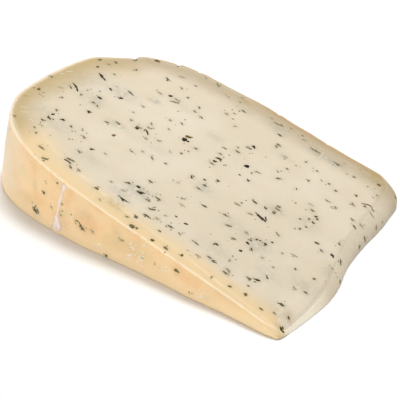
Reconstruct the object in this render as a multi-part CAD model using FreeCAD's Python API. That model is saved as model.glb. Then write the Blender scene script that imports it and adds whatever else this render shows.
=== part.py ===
import FreeCAD, Part
import math
import os

# A wedge of herbed goat gouda, cut from a small wheel and laid down on one of its two cut faces.
#
# Millimetres. +X runs from the thick heel, which is the wheel's rounded rim, towards the thin tip at the
# wheel's middle. Y runs across the wedge, from one flat side of the wheel (-Y) to the other (+Y). +Z is up
# from the lower cut face. The origin is the middle of the wedge's box, at its base.
#
# The two cut faces are planes that would meet in one line, the hinge line, a little beyond the tip. A point
# of the wedge has a reach, its distance from that line, a side, its place along the line, and a level,
# from 0 on the lower cut face to 1 on the upper one.

# Overall sizes
HEEL_REACH = 145.0        # from the hinge line to the back of the heel
WHEEL_HEIGHT = 96.0       # across the wedge, from one flat side of the wheel to the other
WEDGE_ANGLE = 11.44       # between the two cut faces, in degrees
SIDE_LEAN = 1.05          # the far side of the upper cut stands this much above the line of the middle

# The rounded rim, as two quarters of a superellipse that meet at the middle of the heel
RIM_DEPTH = 67.0          # how far the rounding reaches from the heel along each side
NEAR_SQUARENESS = 3.4     # exponent at the -Y corner of the heel, which is nearly square
FAR_SQUARENESS = 2.7      # exponent at the +Y corner, which is rounder
SIDE_SPREAD = 1.6         # each side stands this much further out at the hinge line than at the heel

# A flat spot, where the wheel lay on its rim while it ripened
FLAT_DEPTH = 2.8
FLAT_SIDE = 27.5          # its middle, from the middle of the heel
FLAT_WIDTH = 7.0

# The tip: reach of the base's end, and how the uneven end strays from it, from the -Y side to the +Y side
TIP_REACH = 22.0
TIP_STRAYS = (-2.1, -4.1, -3.7, 0.0, 1.7, 2.6, 5.4)
NEAR_TIP_SLOPE = 1.6      # how far the top's end lies behind the base's, at the -Y side
FAR_TIP_SLOPE = 6.0       # the same at the +Y side
NEAR_CORNER_BASE = 1.5    # radius of the tip's corner at the -Y side, on the base
NEAR_CORNER_TOP = 4.5     # and on the upper cut, where it is worn round
FAR_CORNER_BASE = 3.0     # the same at the +Y side
FAR_CORNER_TOP = 5.5

# Edges
END_ROLL = 3              # power of the level with which the end leans back, so that it rolls over at the top
EDGE_ROUND = 0.8          # radius where the cut faces meet the rind
EDGE_SHARE = 0.33         # the radius is at most this share of the thinnest wall

# How finely the outline and the wall are drawn
LEVELS = (0.0, 0.35, 0.65, 0.85, 1.0)
RIM_STEPS = 15            # on each quarter of the rim
SIDE_STEPS = 5            # on each straight side
CORNER_STEPS = 4          # on each corner of the tip
TIP_STEPS = 14            # between the corners of the tip
OUTLINE_SPANS = 8         # edges that each outline is cut into, so that areas and volumes come out exact
STEP_EVENNESS = 1.5       # spreads the steps of a quarter evenly along it


def half_width(reach):
    """Distance from the middle to the side of the wheel at a given reach."""
    return WHEEL_HEIGHT / 2 + SIDE_SPREAD * (1 - reach / HEEL_REACH)


def tip_curve():
    """Reach of the base's end as a curve over the side, for a half width of 1."""
    last = len(TIP_STRAYS) - 1
    knots = [FreeCAD.Vector(2 * i / last - 1, TIP_REACH + stray, 0) for i, stray in enumerate(TIP_STRAYS)]
    curve = Part.BSplineCurve()
    curve.interpolate(knots, Parameters=[knot.x for knot in knots])
    return curve


def tip_reach(curve, share, level):
    """Reach of the wedge's end at a share, -1 to 1, of its half width and at a level."""
    slope = NEAR_TIP_SLOPE + (FAR_TIP_SLOPE - NEAR_TIP_SLOPE) * (share + 1) / 2
    return curve.value(share).y + slope * level ** END_ROLL


def rim_point(turn):
    """Reach and side of the rim, for a turn from -1 at the -Y side over 0 at the heel to 1 at the +Y side."""
    squareness = NEAR_SQUARENESS if turn < 0 else FAR_SQUARENESS
    share = abs(turn)
    even = share ** STEP_EVENNESS / (share ** STEP_EVENNESS + (1 - share) ** STEP_EVENNESS)
    angle = even * math.pi / 2
    across = math.sin(angle) ** (2 / squareness)
    along = max(math.cos(angle), 0.0) ** (2 / squareness)
    reach = HEEL_REACH - RIM_DEPTH * (1 - along)
    side = math.copysign(across, turn) * half_width(reach)
    flat = FLAT_DEPTH * math.exp(-((side - FLAT_SIDE) / FLAT_WIDTH) ** 2)
    return reach - flat * along, side


def tip_points(level):
    """Reach and side along the end, from the +Y corner to the -Y corner."""
    curve = tip_curve()
    width = half_width(TIP_REACH)
    far_corner = FAR_CORNER_BASE + (FAR_CORNER_TOP - FAR_CORNER_BASE) * level ** END_ROLL
    near_corner = NEAR_CORNER_BASE + (NEAR_CORNER_TOP - NEAR_CORNER_BASE) * level ** END_ROLL
    far_start = 1 - far_corner / width
    near_start = 1 - near_corner / width
    points = []
    for i in range(CORNER_STEPS):
        angle = math.pi / 2 * (1 - i / CORNER_STEPS)
        share = far_start + far_corner / width * math.sin(angle)
        back = far_corner * (1 - math.cos(angle))
        points.append((tip_reach(curve, share, level) + back, share * width))
    for i in range(TIP_STEPS + 1):
        share = far_start - (far_start + near_start) * i / TIP_STEPS
        points.append((tip_reach(curve, share, level), share * width))
    for i in range(1, CORNER_STEPS + 1):
        angle = math.pi / 2 * i / CORNER_STEPS
        share = -near_start - near_corner / width * math.sin(angle)
        back = near_corner * (1 - math.cos(angle))
        points.append((tip_reach(curve, share, level) + back, share * width))
    return points


def side_points(start, end):
    """Reach and side of the points between two ends of a straight side, without the ends."""
    points = []
    for i in range(1, SIDE_STEPS):
        reach = start[0] + (end[0] - start[0]) * i / SIDE_STEPS
        points.append((reach, math.copysign(half_width(reach), end[1])))
    return points


def outline(level):
    """The wedge's outline at a level, as a closed smooth curve on that level's plane."""
    tip = tip_points(level)
    rim = [rim_point(i / RIM_STEPS) for i in range(-RIM_STEPS, RIM_STEPS + 1)]
    flat_points = tip + side_points(tip[-1], rim[0]) + rim + side_points(rim[-1], tip[0])
    angle = math.radians(WEDGE_ANGLE) * level
    lean = SIDE_LEAN / (WHEEL_HEIGHT / 2) * level
    points = []
    for reach, side in flat_points:
        rise = reach * math.sin(angle) + side * lean
        points.append(FreeCAD.Vector(-reach * math.cos(angle), side, rise))
    curve = Part.BSplineCurve()
    curve.interpolate(points, PeriodicFlag=True)
    span = (curve.LastParameter - curve.FirstParameter) / OUTLINE_SPANS
    starts = [curve.FirstParameter + span * i for i in range(OUTLINE_SPANS)]
    return Part.Wire([curve.toShape(start, start + span) for start in starts])


def wedge():
    """The whole piece of cheese."""
    body = Part.makeLoft([outline(level) for level in LEVELS], True, False)
    rims = [edge for face in body.Faces if face.Surface.TypeId == "Part::GeomPlane" for edge in face.Edges]
    thinnest = (TIP_REACH + min(TIP_STRAYS)) * math.sin(math.radians(WEDGE_ANGLE)) - SIDE_LEAN
    body = body.makeFillet(min(EDGE_ROUND, thinnest * EDGE_SHARE), rims)
    box = body.optimalBoundingBox()
    body.translate(FreeCAD.Vector(-box.Center.x, -box.Center.y, -box.ZMin))
    return body


os.makedirs("parts", exist_ok=True)
piece = wedge()
box = piece.optimalBoundingBox()
print(f"valid {piece.isValid()}, solids {len(piece.Solids)}, faces {len(piece.Faces)}")
print(f"box {box.XLength:.2f} {box.YLength:.2f} {box.ZLength:.2f}, volume {piece.Volume:.0f}")
piece.exportStep("parts/wedge.step")
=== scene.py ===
"""A cut wedge of goat gouda with herbs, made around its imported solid.

The file is laid out as an add-on: one operator makes the cheese itself, one its herbs, one what lies on
its rind and its cut, and one the stage. Lengths inside the operators are millimetres, in the solid's own
frame: +X runs from the thick heel to the thin tip, +Y from the near flat side of the wheel to the far one,
and +Z is up. Small things are placed on a face by two of these axes, which FACES gives.
"""

import math
import random

import bpy
import numpy as np
from mathutils import Matrix, Vector, noise
from mathutils.bvhtree import BVHTree
from mathutils.geometry import delaunay_2d_cdt


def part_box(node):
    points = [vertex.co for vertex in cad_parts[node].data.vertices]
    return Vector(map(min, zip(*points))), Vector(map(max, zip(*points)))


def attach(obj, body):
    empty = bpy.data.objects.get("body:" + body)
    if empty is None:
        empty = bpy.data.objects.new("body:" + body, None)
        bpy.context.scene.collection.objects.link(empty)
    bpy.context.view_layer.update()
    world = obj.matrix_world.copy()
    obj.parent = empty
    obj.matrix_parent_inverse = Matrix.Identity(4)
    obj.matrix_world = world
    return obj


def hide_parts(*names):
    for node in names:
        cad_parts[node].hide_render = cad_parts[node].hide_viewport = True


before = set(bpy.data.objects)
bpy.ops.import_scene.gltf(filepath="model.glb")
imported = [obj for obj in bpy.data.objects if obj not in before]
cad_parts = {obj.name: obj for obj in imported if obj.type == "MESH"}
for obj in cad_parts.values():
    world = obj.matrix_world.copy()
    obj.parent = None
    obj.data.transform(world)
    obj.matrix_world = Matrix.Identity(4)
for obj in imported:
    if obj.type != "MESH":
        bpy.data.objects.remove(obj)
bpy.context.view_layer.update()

bl_info = {
    "name": "Goat gouda wedge",
    "version": (1, 0, 0),
    "blender": (4, 5, 0),
    "location": "3D View > Sidebar > Gouda",
    "description": "Makes a cut wedge of goat gouda with herbs",
    "category": "Add Mesh",
}

MM = 0.001
NODE = "wedge"
BODY = "root"
CHEESE = "gouda_body"

# Each face as the axes of its two coordinates and the way in which a thing is dropped on it.
FACES = {
    "top": (Vector((1, 0, 0)), Vector((0, 1, 0)), Vector((0, 0, -1))),
    "base": (Vector((1, 0, 0)), Vector((0, 1, 0)), Vector((0, 0, 1))),
    "near": (Vector((1, 0, 0)), Vector((0, 0, 1)), Vector((0, 1, 0))),
    "far": (Vector((1, 0, 0)), Vector((0, 0, 1)), Vector((0, -1, 0))),
    "heel": (Vector((0, 1, 0)), Vector((0, 0, 1)), Vector((1, 0, 0))),
    "tip": (Vector((0, 1, 0)), Vector((0, 0, 1)), Vector((-1, 0, 0))),
}

# Herb blades laid one by one on the upper cut: x, y, length, and turn from +X in degrees.
BLACK_BLADES = (
    (-49, 9.5, 5, -25), (-50.5, -3.5, 5.5, -32), (-19.5, -3.5, 3.5, -40), (-23, -3.5, 2.4, 20),
    (-1.5, -31, 2.6, 30), (-7, -31, 2, 35), (-3, -38.5, 4.5, 0), (10, 37, 2.2, -10),
    (9.5, -10.5, 2.4, 10), (38, -11, 2.2, -25), (36.5, -24.5, 1.8, -40), (39.5, 9.5, 1.8, 0),
    (4, -10.5, 2, -50), (6, 42.5, 3.2, 5), (-25.5, -38.5, 3, -3), (30, -8.5, 5, -15),
    (-37, 10.5, 3.2, -15), (-39, -6, 1.4, -40),
)
GREEN_BLADES = (
    (-24.5, 20, 3.5, 25), (-10, -13.5, 2.3, -40), (-44, -25.5, 2.5, -30), (-25.5, -37, 3, 12),
    (37, -39, 2.2, -20), (37, -40.5, 2.2, 10), (31.5, 0, 2.2, 0), (-28.5, -8, 2.2, -10),
    (-34.5, 30, 2.5, -25), (-28, 29.5, 1.8, -30), (-25, 22, 1.8, 0), (-31, 20, 2, 0),
    (-17, 25, 1.5, -50), (-13, 20.5, 1.5, -30), (-6, 38, 2.5, -5), (-51.5, -5, 2.5, -32),
    (-31, -11, 2, 10), (-45.5, -20, 1.8, -45), (-44.5, -28.5, 1.6, -10), (-36.5, -23, 1.5, -50),
    (-30.5, -24, 1.8, -5), (-3, -24, 2, -10), (-26.5, -31.5, 1.8, -25), (-11.5, -41.5, 1.8, 0),
    (23, 40.5, 4.2, 0), (32, 40.5, 2.8, 0), (13, 31.5, 2, -10), (13, 29.5, 1.6, -25), (7.5, 20, 2.2, 0),
    (6, 15, 2.2, 0), (23, 14.5, 1.8, 30), (40.5, 18.5, 2.2, 0), (51, 17, 1.8, 0), (4, 1.5, 1.8, 0),
    (24.5, -3.5, 2.3, -15), (9, -13.5, 1.7, -10), (22, -17.5, 2.2, 10), (15, -19.5, 2.2, 0),
    (25.5, -21, 2.4, 25), (30, -25, 1.8, 5), (3.5, -29, 2.3, -5), (2, -32.5, 2, 0), (5.5, -35, 2.4, 35),
    (14, -37, 2.4, 0), (23.5, -37, 2.8, -3), (6.5, -39, 3, 0), (30, -39, 1.8, 0), (32, -39.5, 2.2, 5),
    (43, -36.5, 1.8, 5), (45, -35, 2.4, 30), (55.5, -38, 2.4, 20), (-14, -13.5, 1.2, -30),
    (57, 15.5, 1.4, -50), (44, 17.5, 1.5, -20), (15.5, 9, 1.3, -25), (58, -27.5, 1.6, 10),
    (-21.5, 2, 1.5, -40), (-4, 3.5, 1.5, -10), (58, -4, 3, -60), (59.5, -40, 1.3, -30),
    (50.5, -21, 1.2, -50), (30, 15, 1.2, -50), (-43.5, -33.5, 1.3, -40),
)

# Herb flecks laid one by one on the upper cut: x, y and width.
BLACK_FLECKS = (
    (-27.5, 22, 1.3), (-41.5, -1.5, 1.3), (-42.5, 6, 1.1), (-37, 5, 1.3), (-9.5, 4.5, 2.1),
    (8, 22.5, 1.3), (12.5, 11, 1.9), (13.5, 4.5, 0.9), (17, 4.5, 1), (-38.5, -11, 1.2), (-44.5, -23, 1),
    (-40.5, -22.5, 1.2), (-25, -27, 1.1), (-4, -29.5, 1.4), (12.5, -31.5, 0.8), (16.5, -32, 0.9),
    (28, -32, 1.1), (34.5, -28, 1.1), (7.5, -8, 0.9), (55, -5, 1.3), (-54, 13.5, 1), (38, -18.5, 1.1),
    (34, -23, 1), (-23, -4.5, 1.5), (-1.5, -31.5, 1.6), (64, -37.5, 1), (35, -19, 0.7),
    (36, -18.5, 0.7), (39, -16, 0.8), (34, -21, 0.7), (42, 7.5, 0.9), (43, 6.5, 0.8), (43, 4, 0.9),
    (41, 4.5, 0.7), (39, 2, 0.8), (42.5, 0, 0.7), (41.5, -2.5, 0.8),
)
GREEN_FLECKS = (
    (-44.5, 36.5, 1.8), (-52, 21.5, 1.5), (-31, -43.5, 1.6), (4, 6, 1.7), (4, 3.5, 1.3), (31, 1.5, 1.4),
    (31.5, -2.5, 1.4), (10.5, -4.5, 1.2), (49, -4, 1.5), (60.5, -45.5, 1.5), (6.5, -46.5, 1.8),
    (40, 39, 1.1), (45.5, 30, 1), (36, 27.5, 0.9), (39.5, 26, 0.9), (-56.5, 17.5, 1.2),
    (-57, -15.5, 1.2), (24, -45, 1.2), (14, -46.5, 1.2), (41, -44.5, 1.1), (46, -43.5, 1.3),
    (52.5, -45, 1), (13, -41.5, 1), (-9.5, 7, 1.6), (-41, -5.5, 1), (46.5, -31.5, 1), (54, 2, 1.1),
    (28.5, -3, 1), (-5.5, -12, 1), (-5.5, -3, 0.9), (62, -11, 1),
)
BROWN_FLECKS = ((48, 43, 1.5), (22, -7.5, 0.8), (-25, -15, 1.4))

# Herbs on the near side's rind: x, z, length and turn, and x, z and width.
RIND_BLADES = ((-31.5, 4.5, 3, 70), (-30, 4, 2, -60), (-13, 8.5, 2.2, -10), (-11.3, 7.3, 2.4, -50))
RIND_FLECKS = (
    (-27.5, 12, 1.2), (-22, 18, 0.7), (25, 7.5, 1.3), (-31, 3.5, 1.4), (-10.8, 6.6, 1.2), (-1, 1, 1),
)

# Smudges under the surface, on the cut by x and y and on the near side by x and z: place, half length,
# half width and strength.
CUT_SMUDGES = (
    (-29, 14.5, 2.5, 1.8, 0.45), (-38, 8, 6, 3.5, 0.3), (-42, -4, 5, 4, 0.22), (-28, -9, 5, 2, 0.3),
    (-50, 4, 6, 6, 0.18), (-3, -31, 5, 3.5, 0.3), (-6, -37, 5, 2.5, 0.25), (18, 27, 3, 1.6, 0.3),
    (24, 40, 5, 2.2, 0.35), (32, 40, 4, 1.8, 0.4), (36, -21, 5, 3, 0.35), (42, 2, 4, 3.5, 0.22),
    (31, -1, 4, 3, 0.25), (8, 40, 4, 3, 0.28), (60, -13, 4, 3, 0.35), (56, -25, 5, 3, 0.25),
    (46, -30, 4, 2.5, 0.25), (-4, 15, 4, 2, 0.2), (10, -12, 4, 2.5, 0.25), (26, -19, 4, 3, 0.2),
    (-20, 20, 4, 2.5, 0.18), (-48, -24, 4, 3, 0.2), (58, 2, 3, 3, 0.3), (-12, -8, 5, 3, 0.15),
    (30, -34, 6, 3, 0.18), (-39, -27, 6, 4, 0.22), (-22, -31, 5, 3, 0.2),
)
RIND_SMUDGES = (
    (-32, 13, 1.2, 1.8, 0.25), (-44, 9, 7, 7, 0.07), (-10, 12, 3, 2.5, 0.2), (2, 11, 2, 1.5, 0.2),
    (37, 3, 2, 1, 0.2), (-19, 7, 2, 6, 0.22),
)

# Yellow-green stains on the cut, given as its smudges are.
CUT_STAINS = (
    (61, -46, 2.4, 2, 0.5), (6.5, -45.5, 2, 1.5, 0.3), (-9, 44, 2.5, 1.5, 0.5), (-45, 34, 3, 1.5, 0.3),
    (-3.5, -42.5, 3.5, 2, 0.6), (57, -41, 3.5, 3, 0.25), (48, 46.5, 6, 4.5, 0.9),
    (59, -38, 2, 1.5, 0.2),
)

# The crease in the near side's rind down which coating has run: x, z and half width of the coating.
CREASE = (
    (-18.9, 18.5, 0.3), (-19.1, 18.1, 0.8), (-19.4, 17.2, 0.9), (-19.8, 16.2, 0.3), (-20, 15.2, 0.45),
    (-20.3, 13.6, 0.75), (-20.7, 11.8, 0.6), (-21, 9.6, 0.24), (-21.4, 7.4, 0.3), (-21.5, 6, 0.9),
    (-21.1, 4.8, 1.5), (-20.9, 3.6, 1.8), (-21.2, 2.6, 1.8), (-22.3, 1.7, 1.1), (-23.1, 1, 0.3),
)

# Where dry flakes lie on the near side: x, lowest z, highest z and how many.
FLAKE_ARCS = (
    (7, 2, 10, 34), (11, 3, 11.4, 40), (20.5, 5, 8, 16), (-15.5, 4, 12, 26), (34, 2, 5, 12),
    (-4, 1, 4, 10),
)

# Pale scratches and shavings on the cut: start x and y, end x and y, and bend.
KNIFE_MARKS = (
    (25.4, 43.4, 26.3, 37.6, 0.03), (37, -25.3, 45, -24, -0.25), (38, -26, 49, -28, -0.1),
    (-57, 3.5, -59, 1, 0.2), (-57.5, 0, -59.2, -2, 0.1), (-54, -29, -51.6, -26.4, 0.1),
    (-51.8, -31, -49.8, -28.4, 0.1), (-47.9, -31.4, -45.4, -31.2, 0.2), (55.3, 12.2, 58.4, 8, 0.1),
    (57, -33, 60, -36, 0.1), (42, -28, 50, -33, 0.05),
)

# Broken places in the rim of the far side: x and depth.
NICKS = ((-37.6, 1.9), (-50.2, 2.2), (-30, 0.7), (3, 0.6), (24, 0.5))

# Places where the wall bulges, or sinks in where the last number is negative: x, y, reach and how far.
BULGES = ((-60, -5, 11, 0.7), (54, 45, 7, 0.9), (-55, -32, 6, -0.5))

# How steeply and how softly the tip's end rises, across its width: y, slope and softness.
TIP_SLOPES = (
    (-48, 0.75, 1.2), (-32, 0.75, 1.2), (-22, 1.5, 1.0), (-10, 2.6, 0.9), (2, 2.4, 0.9), (20, 1.9, 1.1),
    (46, 1.5, 1.1),
)
# How far inwards of its crest the tip's colour starts, across its width: y and distance.
TIP_TINTS = ((-30, 6.0), (-12, 2.5), (10, 1.2))


# ---------------------------------------------------------------- settings


def length_setting(name, description, millimetres):
    """A length that shows in the scene's own unit."""
    return bpy.props.FloatProperty(
        name=name, description=description, default=millimetres * MM, unit="LENGTH", precision=5
    )


def colour_setting(name, description, red, green, blue):
    """A colour, given as the eye reads it, from 0 to 255."""
    linear = [channel_to_linear(channel / 255) for channel in (red, green, blue)]
    return bpy.props.FloatVectorProperty(
        name=name, description=description, default=linear, subtype="COLOR", size=3, min=0.0, max=1.0
    )


def channel_to_linear(value):
    """A display colour channel, 0 to 1, as linear light."""
    if value <= 0.04045:
        return value / 12.92
    return ((value + 0.055) / 1.055) ** 2.4


class GoudaBodySettings(bpy.types.PropertyGroup):
    """Sizes and colours of the cheese itself."""

    step: length_setting("Step", "Spacing of the points on the cut faces and round the wall", 0.51)
    near_soft: length_setting("Near softness", "How softly the upper cut turns down at the near side", 0.3)
    heel_soft: length_setting("Heel softness", "The same at the heel", 0.35)
    far_soft: length_setting("Far softness", "The same at the far side", 0.22)
    tip_soft: length_setting("Tip softness", "The same at the tip", 1.5)
    swell: length_setting("Swell", "Height of the slow waves on the faces", 0.3)
    ripple: length_setting("Ripple", "Height of the small waves on the faces", 0.06)
    crease: length_setting("Crease", "Depth of the crease in the rind", 0.45)
    hollow: length_setting("Hollow", "How far the lower cut is hollowed", 0.15)
    band: length_setting("Band", "How far the rind's yellow reaches into the cut", 11.0)
    paste: colour_setting("Paste", "The cream paste", 226, 213, 190)
    paste_shade: colour_setting("Paste shade", "Slightly darker clouds in the paste", 220, 206, 180)
    band_yellow: colour_setting("Band", "The paste close to the rind", 233, 205, 156)
    band_heel: colour_setting("Heel band", "The paste close to the rind at the heel", 192, 168, 120)
    band_far: colour_setting("Far band", "The paste close to the rind on the far side", 190, 172, 140)
    rim_far: colour_setting("Far rim", "The far side's own worn edge", 182, 154, 112)
    rim_left: colour_setting("Far rim by the heel", "The same by the heel", 196, 181, 152)
    # Painted highlight on the heel's rounded rim.
    heel_rim_highlight: colour_setting("Heel rim", "The heel's pale worn edge", 228, 212, 188)
    rind: colour_setting("Rind", "The rind's warm yellow", 249, 214, 162)
    rind_deep: colour_setting("Deep rind", "Its darker clouds", 246, 202, 149)
    rind_pale: colour_setting("Pale rind", "The rind towards the rim", 240, 218, 186)
    rind_olive: colour_setting("Olive rind", "Thin yellow-green places in the rind", 226, 200, 146)
    pore: colour_setting("Pore", "Small brown pores in the rind", 196, 138, 92)
    # Painted light: the rind made paler just above the base, standing in for light thrown up from the
    # floor.
    rind_foot_light: colour_setting("Rind foot", "The rind just above the base", 254, 224, 178)
    # Painted highlight: the light line along the edge where the cut meets the rind.
    ridge_highlight: colour_setting("Ridge", "The worn line where the cut meets the rind", 244, 226, 196)
    # The darker, greyer end at the tip.
    tip_face: colour_setting("Tip face", "The dried end at the tip", 208, 194, 168)
    tip_near: colour_setting("Tip face, near side", "The same towards the near side", 237, 223, 200)
    tip_far: colour_setting("Tip face, far side", "The same towards the far side", 192, 172, 138)
    tip_shade: colour_setting("Tip shade", "The darker crest above it", 198, 182, 154)
    haze: colour_setting("Haze", "Herbs seen through the paste", 152, 151, 136)
    stain: colour_setting("Stain", "Paste coloured by a herb", 172, 148, 84)


class GoudaHerbSettings(bpy.types.PropertyGroup):
    """Sizes and colours of the herbs."""

    blade_width: length_setting("Blade width", "Width of a usual herb blade", 0.78)
    growth: bpy.props.FloatProperty(
        name="Growth", description="Every herb's size against the one laid out", default=1.12, min=0.1
    )
    haze_reach: length_setting("Haze reach", "How far the paste is greyed round a herb", 1.7)
    haze_share: bpy.props.FloatProperty(
        name="Haze share", description="How much it is greyed", default=0.13
    )
    stain_reach: length_setting("Stain reach", "How far the paste is stained round a herb", 0.75)
    stain_share: bpy.props.FloatProperty(
        name="Stain share", description="How much it is stained", default=0.4
    )
    rise: length_setting("Rise", "How far a herb stands out of the cut", 0.07)
    sink: length_setting("Sink", "How deep a herb reaches into the paste", 0.3)
    strays: bpy.props.IntProperty(
        name="Strays", description="Small herbs strewn between those laid by hand", default=110, min=0
    )
    under: bpy.props.IntProperty(name="Under", description="Herbs in the lower cut", default=260, min=0)
    black: colour_setting("Black", "The darkest herbs", 22, 16, 4)
    green: colour_setting("Green", "The lightest herbs", 110, 92, 38)
    brown: colour_setting("Brown", "Herb stalks", 112, 60, 40)
    veil: colour_setting("Veil", "The paste over a sunken herb", 207, 194, 162)


class GoudaCoatSettings(bpy.types.PropertyGroup):
    """Colours of what lies on the rind and the cut."""

    coating: colour_setting("Coating", "The coating that has run down a crease", 250, 234, 230)
    flake: colour_setting("Flake", "Dry flakes and crumbs", 252, 240, 220)
    shaving: colour_setting("Shaving", "Paste lifted by the knife", 234, 224, 202)


class GoudaStageSettings(bpy.types.PropertyGroup):
    """The camera, floor and light."""

    azimuth: bpy.props.FloatProperty(
        name="Azimuth",
        description="Camera's turn about the wedge",
        default=math.radians(29.6),
        subtype="ANGLE",
    )
    elevation: bpy.props.FloatProperty(
        name="Elevation",
        description="Camera's height above the floor",
        default=math.radians(30.24),
        subtype="ANGLE",
    )
    roll: bpy.props.FloatProperty(
        name="Roll",
        description="Camera's turn about its own line",
        default=math.radians(7.22),
        subtype="ANGLE",
    )
    distance: length_setting("Distance", "From the camera to what it looks at", 399.3)
    aim: bpy.props.FloatVectorProperty(
        name="Aim",
        description="What the camera looks at",
        default=(0.00112, 0.00186, 0.0),
        subtype="XYZ",
        size=3,
    )
    lens: bpy.props.FloatProperty(name="Lens", description="Focal length in millimetres", default=105.16)
    world: bpy.props.FloatProperty(name="World", description="Strength of the even light", default=0.38)
    top_lamp: bpy.props.FloatProperty(
        name="Top lamp", description="Power of the lamp above", default=6.2, unit="POWER"
    )
    front_lamp: bpy.props.FloatProperty(
        name="Front lamp", description="Power of the low lamp in front", default=2.2, unit="POWER"
    )
    floor: colour_setting("Floor", "The floor", 255, 255, 255)


# ---------------------------------------------------------------- shader maths


class Wire:
    """An output socket. Arithmetic on it adds Math nodes to its material."""

    def __init__(self, shader, socket):
        self.shader = shader
        self.socket = socket

    def maths(self, operation, first, second):
        return self.shader.node("ShaderNodeMath", {"operation": operation}, {0: first, 1: second})

    def __add__(self, other):
        return self.maths("ADD", self, other)

    def __radd__(self, other):
        return self.maths("ADD", other, self)

    def __sub__(self, other):
        return self.maths("SUBTRACT", self, other)

    def __rsub__(self, other):
        return self.maths("SUBTRACT", other, self)

    def __mul__(self, other):
        return self.maths("MULTIPLY", self, other)

    def __rmul__(self, other):
        return self.maths("MULTIPLY", other, self)


class Shader:
    """A material or a world, and its node tree."""

    def __init__(self, owner):
        self.owner = owner
        owner.use_nodes = True
        self.tree = owner.node_tree
        self.tree.nodes.clear()

    def node(self, kind, settings=None, inputs=None, output=0):
        """Adds a node: its settings first, then the values or links of its sockets. Returns one output."""
        made = self.tree.nodes.new(kind)
        for key, value in (settings or {}).items():
            setattr(made, key, value)
        for key, value in (inputs or {}).items():
            if isinstance(value, Wire):
                self.tree.links.new(value.socket, made.inputs[key])
            else:
                made.inputs[key].default_value = value
        return Wire(self, made.outputs[output]) if len(made.outputs) else None

    def attribute(self, name):
        """A value stored on the mesh's points."""
        return self.node("ShaderNodeAttribute", {"attribute_name": name}, output="Fac")

    def place(self):
        """The point's place in the solid's frame, in millimetres."""
        here = self.node("ShaderNodeTexCoord", output="Object")
        return self.node("ShaderNodeVectorMath", {"operation": "SCALE"}, {0: here, "Scale": 1 / MM})

    def stretched(self, vector, x=1.0, y=1.0, z=1.0):
        """A place with each axis multiplied."""
        return self.node("ShaderNodeVectorMath", {"operation": "MULTIPLY"}, {0: vector, 1: (x, y, z)})

    def axis(self, vector, name):
        """One coordinate of a place."""
        return self.node("ShaderNodeSeparateXYZ", {}, {0: vector}, name)

    def noise(self, vector, size, detail=2.0, roughness=0.5):
        """Soft noise about 0.5, whose lumps are about size millimetres across."""
        return self.node(
            "ShaderNodeTexNoise",
            {},
            {"Vector": vector, "Scale": 1 / size, "Detail": detail, "Roughness": roughness},
            "Fac",
        )

    def cells(self, vector, size):
        """Distance to the nearest of scattered points, in their own spacing."""
        return self.node("ShaderNodeTexVoronoi", {}, {"Vector": vector, "Scale": 1 / size}, "Distance")

    def ramp(self, value, start, end, low=0.0, high=1.0):
        """A smooth step from low at start to high at end."""
        return self.node(
            "ShaderNodeMapRange",
            {"interpolation_type": "SMOOTHSTEP"},
            {"Value": value, "From Min": start, "From Max": end, "To Min": low, "To Max": high},
        )

    def blend(self, factor, first, second):
        """Two values mixed."""
        return self.node("ShaderNodeMix", {}, {0: factor, 2: first, 3: second})

    def mix(self, factor, first, second):
        """Two colours mixed."""
        return self.node(
            "ShaderNodeMix", {"data_type": "RGBA"}, {0: factor, 6: opaque(first), 7: opaque(second)}, 2
        )

    def bump(self, height, distance, under=None):
        """A normal from a height, which is in units of distance, in millimetres."""
        inputs = {"Height": height, "Distance": distance * MM}
        if under is not None:
            inputs["Normal"] = under
        return self.node("ShaderNodeBump", {}, inputs)

    def surface(self, inputs):
        """Ends the material in a principled surface and returns the material."""
        skin = self.node("ShaderNodeBsdfPrincipled", {}, inputs)
        self.node("ShaderNodeOutputMaterial", {}, {"Surface": skin})
        return self.owner


def opaque(colour):
    """A colour with its alpha, or a wire as it is."""
    return colour if isinstance(colour, Wire) else (*colour[:3], 1.0)


def material(name):
    """A new material's shader."""
    return Shader(bpy.data.materials.new(name))


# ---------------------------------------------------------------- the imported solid


def smooth(low, high, value):
    """A smooth step from 0 at low to 1 at high."""
    share = np.clip((value - low) / (high - low), 0.0, 1.0)
    return share * share * (3 - 2 * share)


def bell(distance, width):
    """1 at no distance, falling off softly over a width."""
    return np.exp(-((distance / width) ** 2))


def smooth_ring(values, passes):
    """Values round the wall, evened out with their neighbours."""
    for _ in range(passes):
        values = (np.roll(values, 1) + 2 * values + np.roll(values, -1)) / 4
    return values


def tree_of(mesh):
    """A search tree of a mesh, in millimetres."""
    points = [vertex.co / MM for vertex in mesh.vertices]
    return BVHTree.FromPolygons(points, [tuple(face.vertices) for face in mesh.polygons])


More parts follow.
